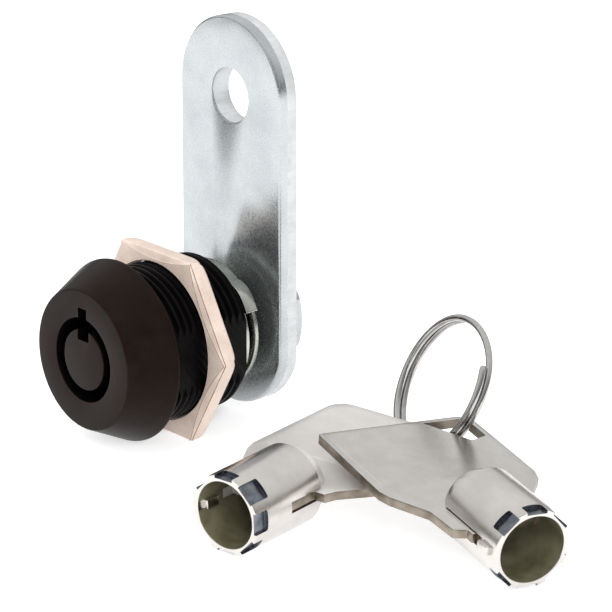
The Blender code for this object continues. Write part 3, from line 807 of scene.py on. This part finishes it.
def make_cam(mats):
    """Flat pressed cam: rolled front edge, sheared side, rod hole and double-D bore."""
    front, back = CAM_SPAN
    middle = front + (back - front) * 0.47
    layers = ((0.3, front), (0.13, front + 0.06), (0.04, front + 0.17), (0.0, front + 0.35),
              (0.0, middle - 0.03), (0.05, middle), (0.05, back - 0.12), (0.09, back - 0.03), (0.16, back))
    bm = bmesh.new()
    rows = []
    for inset, y in layers:
        rows.append([bm.verts.new((x, y, z)) for x, z in cam_outline(inset)])
    count = len(rows[0])
    for lower, upper in zip(rows, rows[1:]):
        for i in range(count):
            j = (i + 1) % count
            bm.faces.new((lower[i], lower[j], upper[j], upper[i]))
    bm.faces.new(rows[0])
    bm.faces.new(rows[-1])
    cam = to_object(bm, "cam_bar")
    hole_profile = ((0, front - 1), (CAM_HOLE_R + 0.22, front - 1), (CAM_HOLE_R + 0.22, front),
                    (CAM_HOLE_R + 0.06, front + 0.08), (CAM_HOLE_R, front + 0.3), (CAM_HOLE_R, back - 0.1),
                    (CAM_HOLE_R + 0.1, back), (CAM_HOLE_R + 0.1, back + 1), (0, back + 1))
    hole = turned("hole", hole_profile, 96, (0, CAM_HOLE_Z))
    combine(cam, [hole, double_d("cam_bore", CAM_SPAN)], "DIFFERENCE")
    dress(cam, mats["cam_zinc"], mats["sheared"])
    for polygon in cam.data.polygons:
        if abs(polygon.normal.y) < 0.3 and polygon.center.y > middle * MM:
            polygon.material_index = 1
    place(cam, Matrix.Translation(LOCK), "rotor", "cam")


def make_cam_nut(mats):
    """Small hex nut with turned corners and a plain bore."""
    start, end = CAM_NUT_SPAN
    corner = CAM_NUT_FLATS / math.sqrt(3)
    nut = prism("cam_hex_nut", [polar(60 * i, corner) for i in range(6)], CAM_NUT_SPAN)
    trim_profile = ((0, start), (CAM_NUT_FACE_R, start), (CAM_NUT_CORNER_R, start + CAM_NUT_CHAMFER),
                    (CAM_NUT_CORNER_R, end - CAM_NUT_CHAMFER), (CAM_NUT_FACE_R, end), (0, end))
    combine(nut, [turned("trim", trim_profile)], "INTERSECT")
    mouth = CAM_NUT_MOUTH_R
    lead = 0.33
    hole_profile = ((0, start - 1), (mouth, start - 1), (mouth, start), (CAM_NUT_BORE_R, start + lead),
                    (CAM_NUT_BORE_R, end - lead), (mouth, end), (mouth, end + 1), (0, end + 1))
    combine(nut, [turned("hole", hole_profile, 96)], "DIFFERENCE")
    dress(nut, mats["cam_zinc"])
    place(nut, Matrix.Translation(LOCK), "rotor", "cam_nut")


# ---------------------------------------------------------------- keys and ring


def tube_cutters():
    """Cutters for the slits that the bow sits in, the groove behind the nib and the seven cuts."""
    half = SLIT_WIDTH / 2
    outside = 5.5
    left, right = SLIT_STARTS
    cutters = [
        block("slit_left", (-outside, left, -half), (-3, TUBE_LENGTH + 1, half), index=2),
        block("groove_left", (-outside, NIB_GROOVE_START, -half),
              (-NIB_GROOVE_FLOOR_R, left + 0.1, half), index=2),
        block("slit_right", (3, right, -half), (outside, TUBE_LENGTH + 1, half), index=2),
    ]
    side = CUT_WIDTH / 2
    for i, depth in enumerate(KEY_CUTS):
        outline = soften(((-side, -1), (side, -1), (side, depth), (-side, depth)), 0.22, 3)
        cut = prism(f"cut_{i}", outline, (CUT_FLOOR_R, 6), along="Z", index=1)
        cut.data.transform(Matrix.Rotation(math.radians(45 * (i + 1) - 90), 4, "Y"))
        cutters.append(cut)
    return cutters


def make_tube(name, matrix, pivot, mats):
    """Key tube: cut mouth, nib and slits, dark inside."""
    profile = soften(((TUBE_BORE_R, 0), (TUBE_R, 0), (TUBE_R, TUBE_LENGTH), (TUBE_BORE_R, TUBE_LENGTH)),
                     0.14, 3)
    finishes = (mats["key_tube"], mats["key_cut"], mats["key_slit"], mats["key_inside"])
    tube = turned(name + "_round_tube", profile, 160, materials=finishes)
    nib = round_edges(block("nib", *NIB), 0.1)
    combine(tube, [nib], "UNION")
    combine(tube, tube_cutters(), "DIFFERENCE")
    for polygon in tube.data.polygons:
        centre = polygon.center / MM
        radius = math.hypot(centre.x, centre.z)
        on_nib = centre.x < 0 and centre.y < NIB[1][1] + 0.05 and abs(centre.z) < NIB[1][2] + 0.02
        if radius < TUBE_BORE_R + 0.02 and not on_nib:
            polygon.material_index = 3
    finish_key_piece(tube, matrix, pivot, name, name + "_tube")


def finish_key_piece(obj, matrix, pivot, body, node):
    """Moves a key piece so that the pivot is its origin, and places it."""
    obj.data.transform(Matrix.Translation(-pivot))
    place(obj, matrix, body, node)


def bow_outline(left_r, left_inset):
    """The bow's edge, from its front inside the tube round the grip and back."""
    half, end = BOW_HALF_W, BOW_END
    right = [(4.5, 6.0), (4.5, 9.9), (6.0, 9.9), (6.5, 11.3), (9.4, 14.6), (half, 16.4)]
    left = [(-half, 16.4), (-9.5, 14.8), (-6.9, 10.4), (-6.6, 5.8),
            (-5.1, 5.3), (-5.1, 4.2), (-4.0, 4.2), (-4.0, 6.0)]
    right_corner = arc((half - RIGHT_CORNER_R, end - RIGHT_CORNER_R), RIGHT_CORNER_R, 0, 90, 10)
    left_corner = arc((left_r + left_inset - half, end - left_r), left_r, -90, 0, 10)
    return right + right_corner[::-1] + left_corner[::-1] + left


def make_bow(name, matrix, pivot, mats):
    """Flat bow with a faint raised panel, a ring slot and the tube's collar."""
    half = BOW_THICK / 2
    bow = prism(name + "_flat_bow", bow_outline(*LEFT_CORNER[name]), (-half, half), along="Z")
    round_edges(bow, 0.1, 2, 30)
    panel_span = (-half - PANEL_RISE, half + PANEL_RISE)
    panel = prism("panel", soften(PANEL_OUTLINE, 0.5, 3), panel_span, along="Z")
    round_edges(panel, 0.05, 1)
    collar = turned("collar", COLLAR_PROFILE, 96)
    combine(bow, [panel, collar], "UNION")
    slot = prism("slot", soften(RING_SLOT, 0.35, 3), (-2, 2), along="Z")
    combine(bow, [slot], "DIFFERENCE")
    dress(bow, mats[name + "_bow"], mats["bow_edge_sheared_and_shade"])
    # The bow's side faces, but not the collar's, take the dark brown: a sheared-edge tone with painted
    # shade.
    for polygon in bow.data.polygons:
        centre = polygon.center / MM
        on_collar = centre.y < 12.8 and math.hypot(centre.x, centre.z) < 4.2
        if abs(polygon.normal.z) < 0.4 and not on_collar:
            polygon.material_index = 1
    finish_key_piece(bow, matrix, pivot, name, name + "_bow")


def make_keys(mats):
    """Both keys, each in its own pose about its pivot."""
    for name, ((heading, rise, roll), pivot) in KEY_TURNS.items():
        turn = Matrix.Rotation(math.radians(heading - 90), 4, "Z")
        turn = turn @ Matrix.Rotation(math.radians(rise), 4, "X")
        turn = turn @ Matrix.Rotation(math.radians(roll), 4, "Y")
        place_at = Vector(JOINTS[name + "_fan"]["pos_m"])
        matrix = Matrix.Translation(place_at) @ turn
        offset = Vector((pivot[0], pivot[1], 0)) * MM
        make_tube(name, matrix, offset, mats)
        make_bow(name, matrix, offset, mats)


def ring_offset(angle):
    """How far along the ring's axis its wire lies at this angle: one side, then over to the other."""
    start, end = RING_CROSSING
    part = min(max((angle - start) / (end - start), 0.0), 1.0)
    return (part * part * (3 - 2 * part) - 0.5) * RING_TURN_GAP


def make_split_ring(mats):
    """Two turns of wire that cross over once, with blunt ends."""
    heading, rise = math.radians(RING_HEADING), math.radians(RING_RISE)
    axis = Vector((math.cos(heading) * math.cos(rise), math.sin(heading) * math.cos(rise), math.sin(rise)))
    turn = axis.to_track_quat("Y", "Z").to_matrix().to_4x4()
    steps = 260
    sides = 20
    bm = bmesh.new()
    rings = []
    for i in range(steps + 1):
        angle = RING_START + RING_SWEEP * i / steps
        x, z = polar(angle, 1.0)
        offset = ring_offset(angle)
        blunt = RING_END_SIZES.get(min(i, steps - i), 1.0)
        row = []
        for k in range(sides):
            around = 2 * math.pi * k / sides
            radius = RING_R + RING_WIRE_R * blunt * math.cos(around)
            y = offset + RING_WIRE_R * blunt * math.sin(around)
            row.append(bm.verts.new((radius * x, y, radius * z)))
        rings.append(row)
    for here, there in zip(rings, rings[1:]):
        for k in range(sides):
            m = (k + 1) % sides
            bm.faces.new((here[k], here[m], there[m], there[k]))
    bm.faces.new(rings[0])
    bm.faces.new(rings[-1])
    ring = to_object(bm, "split_ring_wire")
    dress(ring, mats["steel"])
    matrix = Matrix.Translation(LOCK + RING_CENTRE * MM) @ turn
    place(ring, matrix, "key_ring", "split_ring")


def dress_inner_parts(mats):
    """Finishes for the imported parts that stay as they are."""
    kinds = {"key_pin": "brass", "driver_pin": "steel", "pin_spring": "spring"}
    for name, obj in frame["nodes"].items():
        for kind, finish in kinds.items():
            if name.startswith(kind):
                dress(obj, mats[finish])
    dress(frame["nodes"]["pin_sleeve"], mats["brass"])
    dress(frame["nodes"]["retaining_pin"], mats["steel"])


# ---------------------------------------------------------------- stage


def floor_material():
    """Pale matt floor that glows a little, except near the gap under the barrel, where a painted contact
    shadow takes the glow away.
    """
    material = bpy.data.materials.new("floor")
    material.use_nodes = True
    tree, shader, coords = nodes_of(material)
    shader.inputs["Base Color"].default_value = (FLOOR_TONE, FLOOR_TONE, FLOOR_TONE, 1)
    shader.inputs["Roughness"].default_value = 0.9
    shader.inputs["Emission Color"].default_value = (1, 1, 1, 1)
    reach = tree.nodes.new("ShaderNodeVectorMath")
    reach.operation = "DISTANCE"
    reach.inputs[1].default_value = LOCK + Vector(GAP_SHADOW) * MM
    # Painted contact shadow: the glow fades out near the gap under the barrel.
    glow = tree.nodes.new("ShaderNodeMapRange")
    glow.interpolation_type = "SMOOTHSTEP"
    glow.inputs["From Min"].default_value = GAP_SHADOW_REACH[0] * MM
    glow.inputs["From Max"].default_value = GAP_SHADOW_REACH[1] * MM
    glow.inputs["To Min"].default_value = 0.0
    glow.inputs["To Max"].default_value = FLOOR_GLOW
    tree.links.new(coords.outputs["Object"], reach.inputs[0])
    tree.links.new(reach.outputs["Value"], glow.inputs["Value"])
    tree.links.new(glow.outputs["Result"], shader.inputs["Emission Strength"])
    return material


def make_floor():
    """A plain pale floor, a hair under the lock."""
    bm = bmesh.new()
    corners = ((-1, -1), (1, -1), (1, 1), (-1, 1))
    bm.faces.new([bm.verts.new((x * FLOOR_SIZE, y * FLOOR_SIZE, 0)) for x, y in corners])
    mesh = bpy.data.meshes.new("floor")
    bm.to_mesh(mesh)
    bm.free()
    mesh.materials.append(floor_material())
    floor = bpy.data.objects.new("floor", mesh)
    bpy.context.collection.objects.link(floor)
    floor.location.z = -0.1 * MM


def add_light(name, location, size, power):
    """A square soft light that faces the lock."""
    data = bpy.data.lights.new(name, "AREA")
    data.shape = "SQUARE"
    data.size = size
    data.energy = power
    light = bpy.data.objects.new(name, data)
    light.location = location
    light.visible_glossy = False
    aim = Vector(LIGHT_TARGET) - Vector(location)
    light.rotation_euler = aim.to_track_quat("-Z", "Y").to_euler()
    bpy.context.collection.objects.link(light)


def make_world():
    """Pale surroundings: a dim band at the horizon, and dimmer towards the right front."""
    world = bpy.data.worlds.new("studio")
    world.use_nodes = True
    tree = world.node_tree
    background = tree.nodes["Background"]
    coords = tree.nodes.new("ShaderNodeTexCoord")
    split = tree.nodes.new("ShaderNodeSeparateXYZ")
    heights = tree.nodes.new("ShaderNodeValToRGB")
    elements = heights.color_ramp.elements
    for position, level in WORLD_TONES[1:-1]:
        elements.new(position)
    for element, (position, level) in zip(elements, WORLD_TONES):
        element.position = position
        element.color = (level, level, level, 1)
    side = tree.nodes.new("ShaderNodeVectorMath")
    side.operation = "DOT_PRODUCT"
    side.inputs[1].default_value = DIM_SIDE
    dim = tree.nodes.new("ShaderNodeMapRange")
    dim.inputs["From Min"].default_value = DIM_COSINES[0]
    dim.inputs["From Max"].default_value = DIM_COSINES[1]
    dim.inputs["To Min"].default_value = 1.0
    dim.inputs["To Max"].default_value = DIM_TONE
    mix = tree.nodes.new("ShaderNodeMixRGB")
    mix.blend_type = "MULTIPLY"
    mix.inputs["Fac"].default_value = 1.0
    tree.links.new(coords.outputs["Generated"], split.inputs["Vector"])
    tree.links.new(coords.outputs["Generated"], side.inputs[0])
    tree.links.new(split.outputs["Z"], heights.inputs["Fac"])
    tree.links.new(side.outputs["Value"], dim.inputs["Value"])
    tree.links.new(heights.outputs["Color"], mix.inputs["Color1"])
    tree.links.new(dim.outputs["Result"], mix.inputs["Color2"])
    tree.links.new(mix.outputs["Color"], background.inputs["Color"])
    background.inputs["Strength"].default_value = WORLD_STRENGTH
    bpy.context.scene.world = world
    bpy.context.scene.view_settings.view_transform = "Standard"


def make_lights():
    """A high soft key light from the left front, a fill and a back light."""
    for name, (location, size, power) in LIGHTS.items():
        add_light(name, location, size, power)


def make_camera():
    """A long lens at the viewing angle, level from side to side."""
    heading, drop = math.radians(VIEW_HEADING), math.radians(VIEW_DROP)
    right = Vector((math.cos(heading), math.sin(heading), 0))
    ahead = Vector((-math.sin(heading), math.cos(heading), 0))
    look = ahead * math.cos(drop) - Vector((0, 0, math.sin(drop)))
    up = ahead * math.sin(drop) + Vector((0, 0, math.cos(drop)))
    data = bpy.data.cameras.new("camera")
    data.sensor_width = 36
    data.lens = LENS
    data.clip_start = 0.01
    camera = bpy.data.objects.new("camera", data)
    place_at = LOCK + CAMERA_FROM_LOCK
    rows = [(right[i], up[i], -look[i], place_at[i]) for i in range(3)]
    camera.matrix_world = Matrix(rows + [(0, 0, 0, 1)])
    bpy.context.collection.objects.link(camera)
    bpy.context.scene.camera = camera


def main():
    """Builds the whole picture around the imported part."""
    mats = make_materials()
    make_camera()
    make_housing(mats)
    make_mounting_nut(mats)
    make_rotor(mats)
    make_stop_plate(mats)
    make_wave_washer(mats)
    make_washers(mats)
    make_cam(mats)
    make_cam_nut(mats)
    make_keys(mats)
    make_split_ring(mats)
    dress_inner_parts(mats)
    make_floor()
    make_world()
    make_lights()


main()
